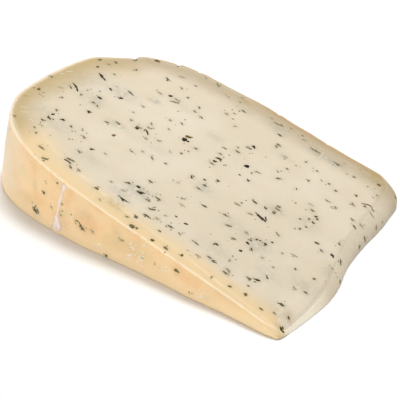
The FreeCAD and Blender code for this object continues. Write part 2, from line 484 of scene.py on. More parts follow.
class Shell:
    """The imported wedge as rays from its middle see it, in millimetres."""

    FINE_TURNS = 2400
    PROBE = 30.0              # how far from the middle the upper cut's height is read

    def __init__(self):
        self.tree = tree_of(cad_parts[NODE].data)
        self.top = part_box(NODE)[1][2] / MM
        self.rise = self.ceiling(0, 0)
        self.slope_x = (self.ceiling(self.PROBE, 0) - self.ceiling(-self.PROBE, 0)) / (2 * self.PROBE)
        self.slope_y = (self.ceiling(0, self.PROBE) - self.ceiling(0, -self.PROBE)) / (2 * self.PROBE)

    def ceiling(self, x, y):
        """Height of the solid's top at a place."""
        hit = self.tree.ray_cast(Vector((x, y, self.top + 1)), Vector((0, 0, -1)))
        return hit[0].z

    def height(self, x, y):
        """Height of the upper cut's plane at a place."""
        return self.rise + self.slope_x * x + self.slope_y * y

    def wall(self, share, turns):
        """Where the wall stands at a share of the height, in each of the turns about the middle."""
        start = Vector((0, 0, share * self.rise))
        found = []
        for turn in turns:
            x, y = math.cos(turn), math.sin(turn)
            away = Vector((x, y, share * (self.slope_x * x + self.slope_y * y)))
            found.append(self.tree.ray_cast(start, away.normalized())[0])
        return np.array(found)

    def even_turns(self, step):
        """Turns about the middle that space points evenly along the wall."""
        turns = np.linspace(0, 2 * np.pi, self.FINE_TURNS + 1)
        ring = self.wall(0.5, turns)[:, :2]
        way = np.concatenate([[0], np.cumsum(np.linalg.norm(np.diff(ring, axis=0), axis=1))])
        count = 2 * round(way[-1] / step / 2)
        return np.interp(np.arange(count) * way[-1] / count, way, turns)


# ---------------------------------------------------------------- the cheese's mesh


class Cheese:
    """Points, faces and point values of the cheese, in millimetres."""

    ROWS = 54                 # points up the wall
    ROW_BIAS = 1.8            # above 1 it crowds the rows towards the two cuts
    ROW_ENDS = 0.0015         # share of the height left below the first row and above the last
    BASE_STEP = 2.2           # spacing on the base, which lies on the table
    CLEARANCE = 0.8           # least distance of a cut's inner points from the wall, in steps
    STEEPEST_CUT = 1.3        # the steepest slope that an edge's rounding follows
    LEAST_LEAN = 0.1          # lean below which a wall counts as upright
    RIND_FACING = (0.85, 0.55)    # from the tip to the rind, by how far the wall faces +X
    BATCH = 2000              # points measured at a time
    SAME_PLACE = 1e-7         # distance below which two points of a cut are one
    SHEET = 256.0             # side of the square on which the surface is laid out flat
    SHEET_GAP = 2.0           # space left between its parts
    TOP_SCALE = 1.25          # scale of the upper cut on that square
    BASE_SCALE = 0.7          # scale of the base
    WALL_SCALE = 1.18         # scale of the wall's height

    def __init__(self, shell, step):
        self.shell = shell
        self.turns = shell.even_turns(step)
        self.columns = len(self.turns)
        spread = np.linspace(-1, 1, self.ROWS)
        shares = 0.5 + 0.5 * np.sign(spread) * (1 - (1 - np.abs(spread)) ** self.ROW_BIAS)
        self.shares = np.clip(shares, self.ROW_ENDS, 1 - self.ROW_ENDS)
        wall = np.stack([shell.wall(share, self.turns) for share in self.shares])
        self.ring = wall[self.ROWS // 2, :, :2]
        along = np.roll(self.ring, -1, axis=0) - np.roll(self.ring, 1, axis=0)
        along /= np.linalg.norm(along, axis=1)[:, None]
        self.out = np.stack([along[:, 1], -along[:, 0]], axis=1)
        self.rindness = smooth(*self.RIND_FACING, self.out[:, 0])
        self.lean = np.linalg.norm(wall[-1, :, :2] - wall[0, :, :2], axis=1)
        self.join(wall, step)
        self.measure()

    def steepness(self):
        """Rise of the wall for each step inwards, held to what an edge turns over."""
        height = self.shell.height(self.ring[:, 0], self.ring[:, 1])
        return np.minimum(self.STEEPEST_CUT, height / np.maximum(self.lean, self.LEAST_LEAN))

    def inner(self, ring, step):
        """Evenly spread points inside a ring about the middle, in rows of triangles."""
        low, high = ring.min(0), ring.max(0)
        rows = np.arange(low[1], high[1], step * math.sqrt(3) / 2)
        points = []
        for row, y in enumerate(rows):
            xs = np.arange(low[0], high[0], step) + (row % 2) * step / 2
            points.append(np.stack([xs, np.full_like(xs, y)], axis=1))
        points = np.concatenate(points)
        turn = np.arctan2(points[:, 1], points[:, 0]) % (2 * np.pi)
        radius = np.linalg.norm(ring, axis=1)
        limit = np.interp(turn, np.append(self.turns, 2 * np.pi), np.append(radius, radius[0]))
        return points[np.linalg.norm(points, axis=1) < limit - step * self.CLEARANCE]

    def cap(self, ring, step):
        """Inner points and triangles that fill a ring."""
        inside = self.inner(ring, step)
        points = [Vector(point) for point in np.concatenate([ring, inside])]
        edges = [(i, (i + 1) % len(ring)) for i in range(len(ring))]
        return inside, np.array(delaunay_2d_cdt(points, edges, [], 1, self.SAME_PLACE)[2])

    def join(self, wall, step):
        """Joins the wall and the two cuts."""
        shell = self.shell
        count = self.columns
        top, top_faces = self.cap(wall[-1, :, :2], step)
        base, base_faces = self.cap(wall[0, :, :2], self.BASE_STEP)
        top_points = np.column_stack([top, shell.height(top[:, 0], top[:, 1])])
        base_points = np.column_stack([base, np.zeros(len(base))])
        self.points = np.concatenate([wall.reshape(-1, 3), top_points, base_points])
        first_top = self.ROWS * count
        first_base = first_top + len(top)
        top_ring = first_top - count + np.arange(count)
        top_index = np.concatenate([top_ring, first_top + np.arange(len(top))])
        base_index = np.concatenate([np.arange(count), first_base + np.arange(len(base))])
        column = np.arange(count)
        quads = []
        for row in range(self.ROWS - 1):
            near = row * count + column
            next_one = row * count + (column + 1) % count
            quads.append(np.stack([near, next_one, next_one + count, near + count], axis=1))
        self.quads = np.concatenate(quads)
        self.top_faces = top_index[top_faces]
        self.base_faces = base_index[base_faces][:, ::-1]
        index = np.arange(len(self.points))
        self.is_wall = index < first_top
        self.is_top = (index >= first_top) & (index < first_base)
        self.is_base = index >= first_base

    def measure(self):
        """Finds each point's column of the wall, and its distances to the wall, the rind and the tip."""
        plan = self.points[:, :2]
        self.home = np.tile(np.arange(self.columns), self.ROWS)
        self.home = np.concatenate([self.home, np.zeros(len(plan) - len(self.home), int)])
        self.to_wall = np.zeros(len(plan))
        self.to_rind = np.zeros(len(plan))
        self.to_tip = np.zeros(len(plan))
        is_rind = self.rindness > 0.5
        for start in range(0, len(plan), self.BATCH):
            part = slice(start, start + self.BATCH)
            away = np.linalg.norm(plan[part, None] - self.ring[None], axis=2)
            inside = ~self.is_wall[part]
            self.home[part] = np.where(inside, away.argmin(1), self.home[part])
            self.to_wall[part] = np.where(inside, away.min(1), 0)
            self.to_rind[part] = away[:, is_rind].min(1)
            self.to_tip[part] = away[:, ~is_rind].min(1)

    def flat_map(self):
        """Where each face corner lies when the surface is laid out flat, as shares of the square's side."""
        low = self.points[:, :2].min(0)
        plan = self.points[:, :2] - low
        width, depth = plan.max(0)
        half = self.columns // 2
        column = np.tile(np.arange(self.columns), self.ROWS - 1)
        row = np.repeat(np.arange(self.ROWS - 1), self.columns)
        strip = column // half
        pace = (self.SHEET - self.SHEET_GAP) / half
        left = (column - strip * half) * pace
        floor = strip * (self.shell.top * self.WALL_SCALE + self.SHEET_GAP)
        level = self.shares * self.shell.top * self.WALL_SCALE
        lower = floor + level[row]
        upper = floor + level[row + 1]
        corners = [(left, lower), (left + pace, lower), (left + pace, upper), (left, upper)]
        wall = np.stack([np.stack(corner, axis=1) for corner in corners], axis=1).reshape(-1, 2)
        shelf = 2 * (self.shell.top * self.WALL_SCALE + self.SHEET_GAP)
        top = plan[self.top_faces.reshape(-1)] * self.TOP_SCALE + [0, shelf]
        base = plan[self.base_faces.reshape(-1)] * self.BASE_SCALE
        base = base + [width * self.TOP_SCALE + self.SHEET_GAP, shelf]
        return np.concatenate([wall, top, base]) / self.SHEET

    def mesh(self, name):
        """The finished mesh, in metres, with its flat map."""
        mesh = bpy.data.meshes.new(name)
        faces = self.quads.tolist() + self.top_faces.tolist() + self.base_faces.tolist()
        mesh.from_pydata((self.points * MM).tolist(), [], faces)
        mesh.polygons.foreach_set("use_smooth", np.ones(len(faces), bool))
        flat = mesh.uv_layers.new(name="OFBake")
        flat.data.foreach_set("uv", self.flat_map().reshape(-1).astype(np.float32))
        return mesh


# ---------------------------------------------------------------- shaping the cheese

# Where one place turns into another, as where the change starts and where it is full.
FAR_FACING = (-0.2, 0.7)      # into the far side, by how far the wall faces +Y
HEEL_FACING = (0.35, 0.85)    # into the heel, by how far it faces -X
NEAR_FACING = (0.6, 0.9)      # into the near side, by how far it faces -Y
EDGE_SHARE = (0.0, 0.6)       # into the softened edge, by share of the height
HOLLOW_RUN = (0.0, 2.5)       # into the lower cut's hollow, by distance from the wall
RIND_ROLL = (0.9, 0.2)        # from the cut into the rind, by distance from the wall
TIP_NEARNESS = (-1.5, 2.5)    # into the tip, by how much nearer it is than the rind
TIP_CORNER = (-50, -42)       # into the tip from the near corner, by y

EVEN_EDGES = 14               # passes that even out the edges' softness along the wall
EVEN_SLOPES = 6               # and passes that even out its steepness
RIDGE_INSET = 0.3             # from the wall to the middle of the painted highlight line on the cut
RIDGE_WIDTH = 0.35            # how softly that painted highlight ends on the cut
RIDGE_DEPTH = 0.4             # and on the wall

TIP_LEAST = 0.5               # the least share of the slope's height that softening leaves
TIP_TINT_END = 1.5            # how far outwards of the crest the tip's colour is full
CREST_WIDTH = 1.6             # how softly the painted shade on the crest ends on both sides

SWELL_SIZE = 24.0             # width of the slow waves
RIPPLE_SIZE = 3.0             # width of the small ones
WALL_SWELL = 1.2              # the wall's waves against the upper cut's

NICK_WIDTH = 0.6              # how wide a nick is cut
NICK_LIP = 0.6                # height of a nick's raised lip against its depth
NICK_LIP_REACH = 5.0          # how far that lip runs towards the tip
NICK_FACING = (0.2, 0.6)      # by how far the wall faces +Y
NICK_SHARE = (0.5, 0.9)       # by share of the height
NICK_INSET = (3.0, 0)         # by distance from the wall

CREASE_GROOVE = (-0.4, 0.8)   # where the groove lies beside the crease's line, and its width
CREASE_LIP = (1.6, 1.4)       # the same for the swelling beside it
CREASE_LIP_SHARE = 0.45       # height of that swelling against the groove's depth
FLAKE_DENT = 0.12             # depth of the dents under dry flakes
FLAKE_DENT_WIDTH = 1.3
FLAKE_DENT_FADE = 2           # how far past the flakes a dent ends


def shape_edges(cheese, look):
    """Softens the upper cut's edges, hollows the lower cut, says which points are rind and where the
    painted highlight runs along the edge.
    """
    points = cheese.points
    shell = cheese.shell
    far = smooth(*FAR_FACING, cheese.out[:, 1])
    heel = smooth(*HEEL_FACING, -cheese.out[:, 0])
    soft = look.near_soft + (look.far_soft - look.near_soft) * far
    soft = soft + (look.heel_soft - soft) * heel
    soft = soft + (look.tip_soft - soft) * (1 - cheese.rindness)
    soft = smooth_ring(soft / MM, EVEN_EDGES)[cheese.home]
    steep = smooth_ring(cheese.steepness(), EVEN_SLOPES)[cheese.home]
    cheese.far = smooth_ring(far, EVEN_EDGES)[cheese.home]
    cheese.rise = points[:, 2] / shell.height(points[:, 0], points[:, 1])
    height = shell.height(cheese.ring[:, 0], cheese.ring[:, 1])[cheese.home]
    from_crest = steep * cheese.to_wall - height / 2 * np.minimum(1, steep / cheese.STEEPEST_CUT)
    below_edge = height * (1 - cheese.rise)
    gap = np.where(cheese.is_wall, below_edge, np.maximum(from_crest, 0))
    points[:, 2] -= soft * np.log(1 + np.exp(-gap / soft)) * smooth(*EDGE_SHARE, cheese.rise)
    hollow = look.hollow / MM * smooth(*HOLLOW_RUN, cheese.to_wall)
    points[:, 2] += np.where(cheese.is_base, hollow, 0)
    rind = cheese.rindness[cheese.home]
    rolled = smooth(*RIND_ROLL, cheese.to_wall) * rind
    cheese.wall_share = np.where(cheese.is_wall, rind, np.where(cheese.is_top, rolled, 0))
    # The painted highlight along the edge where the cut meets the rind, on the cut and down the wall.
    on_cut = bell(cheese.to_wall - RIDGE_INSET, RIDGE_WIDTH) * (1 - cheese.far)
    on_wall = bell(below_edge, RIDGE_DEPTH) * (1 - cheese.far)
    cheese.ridge_highlight = np.where(cheese.is_top, on_cut, np.where(cheese.is_wall, on_wall, 0)) * rind


def shape_tip(cheese):
    """Slopes the tip's end down to its foot, gently by the near side, and says where its face is."""
    points = cheese.points
    lean = cheese.lean[cheese.home]
    inset = lean / 2 + np.where(cheese.is_wall, (cheese.rise - 0.5) * lean, cheese.to_tip)
    tipness = smooth(*TIP_NEARNESS, cheese.to_rind - cheese.to_tip) * np.where(cheese.is_base, 0, 1)
    tipness = tipness * smooth(*TIP_CORNER, points[:, 1])
    places, slopes, softness = np.array(TIP_SLOPES).T
    slope = np.interp(points[:, 1], places, slopes)
    soft = np.interp(points[:, 1], places, softness)
    limit = slope * inset
    height = points[:, 2].copy()
    lowered = -soft * np.logaddexp(-height / soft, -limit / soft)
    lowered = np.maximum(lowered, np.minimum(height, limit) * TIP_LEAST)
    points[:, 2] += (lowered - height) * tipness
    beyond = height / slope - inset
    tint_start = np.interp(points[:, 1], *np.array(TIP_TINTS).T)
    # Where the painted shade lies along the crest, and where the tip's own colour starts.
    cheese.crest = bell(beyond, CREST_WIDTH) * tipness
    cheese.tip_share = smooth(-tint_start, TIP_TINT_END, beyond) * tipness


def waves(points, size):
    """Soft noise about 0 at each point, whose lumps are about size millimetres across."""
    smoothness, fineness, layers = 1.0, 2.0, 2
    return np.array([noise.fractal(Vector(point) / size, smoothness, fineness, layers) for point in points])


def shape_waves(cheese, look):
    """Gives the faces their slow swell and small ripples, and the far rim its nicks."""
    points = cheese.points
    swell = waves(points, SWELL_SIZE) * look.swell
    ripple = waves(points, RIPPLE_SIZE) * look.ripple
    lift = (swell + ripple) / MM
    points[:, 2] += np.where(cheese.is_base, 0, lift * np.clip(cheese.rise, 0, 1))
    out = cheese.out[cheese.home]
    push = np.where(cheese.is_wall, lift * WALL_SWELL, 0)
    rim = smooth(*NICK_FACING, out[:, 1]) * smooth(*NICK_SHARE, cheese.rise)
    rim = np.where(cheese.is_base, 0, rim * smooth(*NICK_INSET, cheese.to_wall))
    for x, depth in NICKS:
        away = points[:, 0] - x
        lip = np.where(away > 0, np.exp(-np.abs(away) / NICK_LIP_REACH) * NICK_LIP, 0)
        push = push + (lip - bell(away, NICK_WIDTH)) * depth * rim
    for x, y, reach, amount in BULGES:
        bulge = bell(np.hypot(points[:, 0] - x, points[:, 1] - y), reach) * amount
        push = push + np.where(cheese.is_wall, bulge * cheese.rise, 0)
    points[:, 0] += out[:, 0] * push
    points[:, 1] += out[:, 1] * push


def shape_crease(cheese, look):
    """Presses the crease and a few dents into the near side's rind."""
    points = cheese.points
    near = smooth(*NEAR_FACING, -cheese.out[cheese.home][:, 1]) * cheese.is_wall
    line = np.array(CREASE)
    line_x = np.interp(points[:, 2], line[::-1, 1], line[::-1, 0])
    away = points[:, 0] - line_x
    groove = bell(away - CREASE_GROOVE[0], CREASE_GROOVE[1])
    lip = bell(away - CREASE_LIP[0], CREASE_LIP[1]) * CREASE_LIP_SHARE
    press = (groove - lip) * near * look.crease / MM
    for x, low, high, _ in FLAKE_ARCS:
        from_below = smooth(low - FLAKE_DENT_FADE, low, points[:, 2])
        from_above = smooth(high + FLAKE_DENT_FADE, high, points[:, 2])
        dent = bell(points[:, 0] - x, FLAKE_DENT_WIDTH) * FLAKE_DENT
        press = press + near * from_below * from_above * dent
    points[:, 1] += press


# ---------------------------------------------------------------- the cheese's colours

# Where one colour turns into another, as where the change starts and where it is full.
CUT_CLOUDS = (0.35, 0.65)     # by the clouds' noise
CUT_FAR = (18.0, 34.0)        # by y
CUT_HEEL = (-36.0, -50.0)     # by x
BAND_WIDENS = (-22.0, -38.0)  # by x
HEEL_BAND = (-20.0, 6.0)      # by y
RIM_DARKENS = (-16.0, 4.0)    # by x
RIM_OUTER = (4.0, 1.0)         # by distance from the rind
TIP_NEAR = (-28.0, -15.0)     # by distance from the rind, into the outer rim: a painted highlight at the heel
TIP_FAR = (24.0, 38.0)        # by y
CREST_SHADED = (-14.0, 0.0)    # by y, for the painted shade on the crest
CREST_PATCHES = (0.25, 0.65)  # by the patches' noise
RIND_PATCHES = (0.42, 0.68)   # by the patches' noise
RIND_OLIVE = (0.45, 0.7)      # by the clouds' noise
RIND_HEEL = (-30.0, -56.0)    # by x
RIND_FOOT_LIGHT = (7.0, 0.5)        # by z, for the painted light just above the base
RIND_FAR = (10.0, 40.0)       # by y
PORE_SIZE = (0.22, 0.1)       # by distance from a pore's middle
PORE_AREAS = (0.55, 0.7)      # by the areas' noise
CORNER_X = (36.0, 48.0)
CORNER_Y = (30.0, 42.0)
RIDGE_START = (-58.0, -48.0)  # by x
RIDGE_BROKEN = (0.34, 0.5)    # by fine noise
SMUDGE_GRAIN = (0.2, 0.6)     # by fine noise

PATCH_SIZE = 6.0              # width of the patches in cut and rind
CLOUD_SIZE = 22.0             # width of the cut's clouds
RIND_CLOUD_SIZE = 16.0
AREA_SIZE = 9.0               # width of the areas that hold pores
PORE_SPACING = 1.3
BORDER_WANDER = 12.0          # how far the clouds move the borders of the cut's colours
BAND_WANDER = 4.0             # how far the patches move the band's edge
RIM_WANDER = 1.5              # and the outer rim's
BAND_FULL = 3.0               # distance from the rind at which the band is full
WIDE_BAND = 1.7               # the band's width at the heel against the usual
HEEL_BAND_NEAR = 1.4          # the same where the heel meets the near side
FAR_BAND = 1.35               # and on the far side
CREST_SHARE = 0.35            # the strongest that the painted shade on the crest shows
CREST_LEAST = 0.6             # its least share where patches thin it
OLIVE_SHARE = 0.6
PORE_SHARE = 0.6
RIND_FAR_SHARE = 0.75
RIDGE_SHARE = 0.8
SMUDGE_STRENGTH = 1.2         # the cut's smudges against the strengths in their table
FACES_NEAR = 0.5              # how far the wall faces -Y where the near side's smudges show


def cloud_values(cheese, clouds, across, up, keep):
    """Soft clouds added together over the points that are kept, from two coordinates of each point."""
    value = np.zeros(len(cheese.points))
    a = cheese.points[:, across]
    b = cheese.points[:, up]
    for middle_a, middle_b, half_a, half_b, strength in clouds:
        value += strength * np.exp(-(((a - middle_a) / half_a) ** 2) - ((b - middle_b) / half_b) ** 2)
    return value * keep


def set_value(mesh, name, values):
    """Stores a value for each point of a mesh."""
    attribute = mesh.attributes.new(name, "FLOAT", "POINT")
    attribute.data.foreach_set("value", np.asarray(values, np.float32))


def add_object(name, mesh, surface):
    """An object on the cheese's body, with its material."""
    made = bpy.data.objects.new(name, mesh)
    bpy.context.scene.collection.objects.link(made)
    mesh.materials.append(surface)
    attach(made, BODY)
    return made


def cut_colour(shader, look, here, patches):
    """The paste, yellow near the rind, brownish near the far side and in the tip's colours near the tip,
    with a painted highlight on the heel's rim.
    """
    x = shader.axis(here, "X")
    y = shader.axis(here, "Y")
    clouds = shader.noise(here, CLOUD_SIZE, detail=3.0)
    wander = (clouds - 0.5) * BORDER_WANDER
    far = shader.ramp(y + wander, *CUT_FAR)
    heel = shader.ramp(x + wander, *CUT_HEEL)
    paste = shader.mix(shader.ramp(clouds, *CUT_CLOUDS), look.paste, look.paste_shade)
    depth = shader.attribute("to_rind")
    band = look.band / MM
    reach = shader.ramp(x, *BAND_WIDENS, band, band * WIDE_BAND)
    heel_reach = shader.ramp(y, *HEEL_BAND, band * HEEL_BAND_NEAR, band * WIDE_BAND)
    reach = shader.blend(heel, reach, heel_reach)
    reach = shader.blend(far, reach, band * FAR_BAND)
    strength = shader.ramp(depth + (patches - 0.5) * BAND_WANDER, reach, BAND_FULL)
    side = shader.mix(heel, look.band_yellow, look.band_heel)
    side = shader.mix(far, side, look.band_far)
    colour = shader.mix(strength, paste, side)
    # The cut's outer rim: a painted highlight at the heel, a darker edge on the far side.
    far_rim = shader.mix(shader.ramp(x, *RIM_DARKENS), look.rim_left, look.rim_far)
    rim = shader.mix(far, look.heel_rim_highlight, far_rim)
    outer = shader.ramp(depth + (patches - 0.5) * RIM_WANDER, *RIM_OUTER)
    edge = outer * far.maths("MAXIMUM", far, heel)
    colour = shader.mix(edge, colour, rim)
    return tip_colour(shader, look, colour, y, patches)


def tip_colour(shader, look, colour, y, patches):
    """The tip's end in its own colours, with painted shade along the crest above it."""
    face = shader.mix(shader.ramp(y, *TIP_NEAR), look.tip_near, look.tip_face)
    face = shader.mix(shader.ramp(y, *TIP_FAR), face, look.tip_far)
    colour = shader.mix(shader.attribute("tip_share"), colour, face)
    # Painted shade along the crest where the cut rolls over to the tip's end, thinned unevenly by patches.
    darkened = shader.attribute("crest") * shader.ramp(patches, *CREST_PATCHES, CREST_LEAST, 1.0)
    darkened = darkened * shader.ramp(y, *CREST_SHADED, 0.0, CREST_SHARE)
    return shader.mix(darkened, colour, look.tip_shade)


def rind_colour(shader, look, here, patches):
    """The rind, warm with darker clouds and pores, paler towards the heel, with painted light making it
    paler just above the base.
    """
    x = shader.axis(here, "X")
    y = shader.axis(here, "Y")
    z = shader.axis(here, "Z")
    clouds = shader.noise(shader.stretched(here, z=1.6), RIND_CLOUD_SIZE)
    colour = shader.mix(shader.ramp(patches, *RIND_PATCHES), look.rind, look.rind_deep)
    colour = shader.mix(shader.ramp(clouds, *RIND_OLIVE) * OLIVE_SHARE, colour, look.rind_olive)
    colour = shader.mix(shader.ramp(x, *RIND_HEEL), colour, look.rind_pale)
    spots = shader.ramp(shader.cells(here, PORE_SPACING), *PORE_SIZE)
    areas = shader.ramp(shader.noise(here, AREA_SIZE), *PORE_AREAS)
    colour = shader.mix(spots * areas * PORE_SHARE, colour, look.pore)
    # Painted light: paler rind just above the base, in place of light from the floor.
    colour = shader.mix(shader.ramp(z, *RIND_FOOT_LIGHT), colour, look.rind_foot_light)
    colour = shader.mix(shader.ramp(y, *RIND_FAR) * RIND_FAR_SHARE, colour, look.rim_far)
    corner = shader.ramp(x, *CORNER_X) * shader.ramp(y, *CORNER_Y)
    return shader.mix(corner, colour, look.tip_far)


def gouda_material(look):
    """Paste, band, rind and tip in one surface, with painted highlights along the edges, painted shade on
    the tip's crest and painted light just above the base.
    """
    shader = material("goat_gouda")
    here = shader.place()
    patches = shader.noise(here, PATCH_SIZE, detail=3.0)
    cut = cut_colour(shader, look, here, patches)
    rind = rind_colour(shader, look, here, patches)
    colour = shader.mix(shader.attribute("wall_share"), cut, rind)
    # A painted highlight along the edge where the cut meets the rind, broken by noise; towards the heel it
    # takes the heel rim's highlight colour.
    highlight_breaks = shader.noise(here, size=2.2, detail=3.0, roughness=0.7)
    broken = shader.ramp(highlight_breaks, *RIDGE_BROKEN)
    line = shader.mix(shader.ramp(shader.axis(here, "X"), *RIDGE_START), look.heel_rim_highlight, look.ridge_highlight)
    colour = shader.mix(shader.attribute("ridge_highlight") * broken * RIDGE_SHARE, colour, line)
    smudge = shader.ramp(shader.noise(here, size=1.6), *SMUDGE_GRAIN)
    colour = shader.mix(shader.attribute("haze") * smudge, colour, look.haze)
    colour = shader.mix(shader.attribute("stain") * smudge, colour, look.stain)
    drag = shader.noise(shader.stretched(here, x=0.35, y=1.6), size=0.9, detail=3.0, roughness=0.6)
    grain = shader.noise(here, size=0.45, roughness=0.6)
    normal = shader.bump(drag, distance=0.05, under=shader.bump(grain, distance=0.025))
    return shader.surface(
        {
            "Base Color": colour,
            "Roughness": shader.ramp(patches, 0.3, 0.7, low=0.4, high=0.55),
            "Normal": normal,
            "Subsurface Weight": 0.2,
            "Subsurface Radius": (1.0, 0.65, 0.35),
            "Subsurface Scale": 0.002,
            "Specular IOR Level": 0.35,
        }
    )


class GOUDA_OT_body(bpy.types.Operator):
    """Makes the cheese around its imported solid"""

    bl_idname = "gouda.body"
    bl_label = "Make the cheese"

    def execute(self, context):
        look = context.scene.gouda_body
        cheese = Cheese(Shell(), look.step / MM)
        shape_edges(cheese, look)
        shape_tip(cheese)
        shape_waves(cheese, look)
        shape_crease(cheese, look)
        mesh = cheese.mesh(CHEESE)
        near_rind = cheese.is_wall & (cheese.out[cheese.home][:, 1] < -FACES_NEAR)
        haze = cloud_values(cheese, CUT_SMUDGES, 0, 1, cheese.is_top) * SMUDGE_STRENGTH
        haze += cloud_values(cheese, RIND_SMUDGES, 0, 2, near_rind)
        stain = cloud_values(cheese, CUT_STAINS, 0, 1, cheese.is_top)
        values = {
            "to_rind": cheese.to_rind,
            "wall_share": cheese.wall_share,
            "ridge_highlight": cheese.ridge_highlight,
            "crest": cheese.crest,
            "tip_share": cheese.tip_share,
            "haze": haze,
            "stain": stain,
        }
        for name, value in values.items():
            set_value(mesh, name, value)
        made = add_object(CHEESE, mesh, gouda_material(look))
        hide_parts(NODE)
        return {"FINISHED"}


# ---------------------------------------------------------------- small things on the cheese


class Skin:
    """The finished cheese as small things meet it, in millimetres."""

    REACH = 120.0             # how far from the middle of the cheese a thing starts its drop
    DROP = 2.0                # a greater difference in height within one thing is an edge of the cheese
    SQUARE = 0.8              # how squarely a face meets a thing's drop where the thing can lie

    def __init__(self):
        self.tree = tree_of(bpy.data.objects[CHEESE].data)

    def land(self, face, a, b):
        """Where a thing dropped at two coordinates of a face meets the cheese, and which way is out."""
        across, up, way = FACES[face]
        hit, out, _, _ = self.tree.ray_cast(across * a + up * b - way * self.REACH, way)
        return hit, out

    def raised(self, face, a, b, height, spare):
        """That place raised by a height. Where the drop goes over an edge, the spare place is used."""
        hit, out = self.land(face, a, b)
        if hit is None or abs((hit - spare).dot(FACES[face][2])) > self.DROP:
            return spare
        return hit + out * height

    def lies_open(self, face, a, b, reach):
        """Whether the face goes on evenly round a place."""
        middle, out = self.land(face, a, b)
        if middle is None or abs(out.dot(FACES[face][2])) < self.SQUARE:
            return False
        for step_a, step_b in ((reach, 0), (-reach, 0), (0, reach), (0, -reach)):
            hit = self.land(face, a + step_a, b + step_b)[0]
            if hit is None or abs((hit - middle).dot(FACES[face][2])) > reach:
                return False
        return True


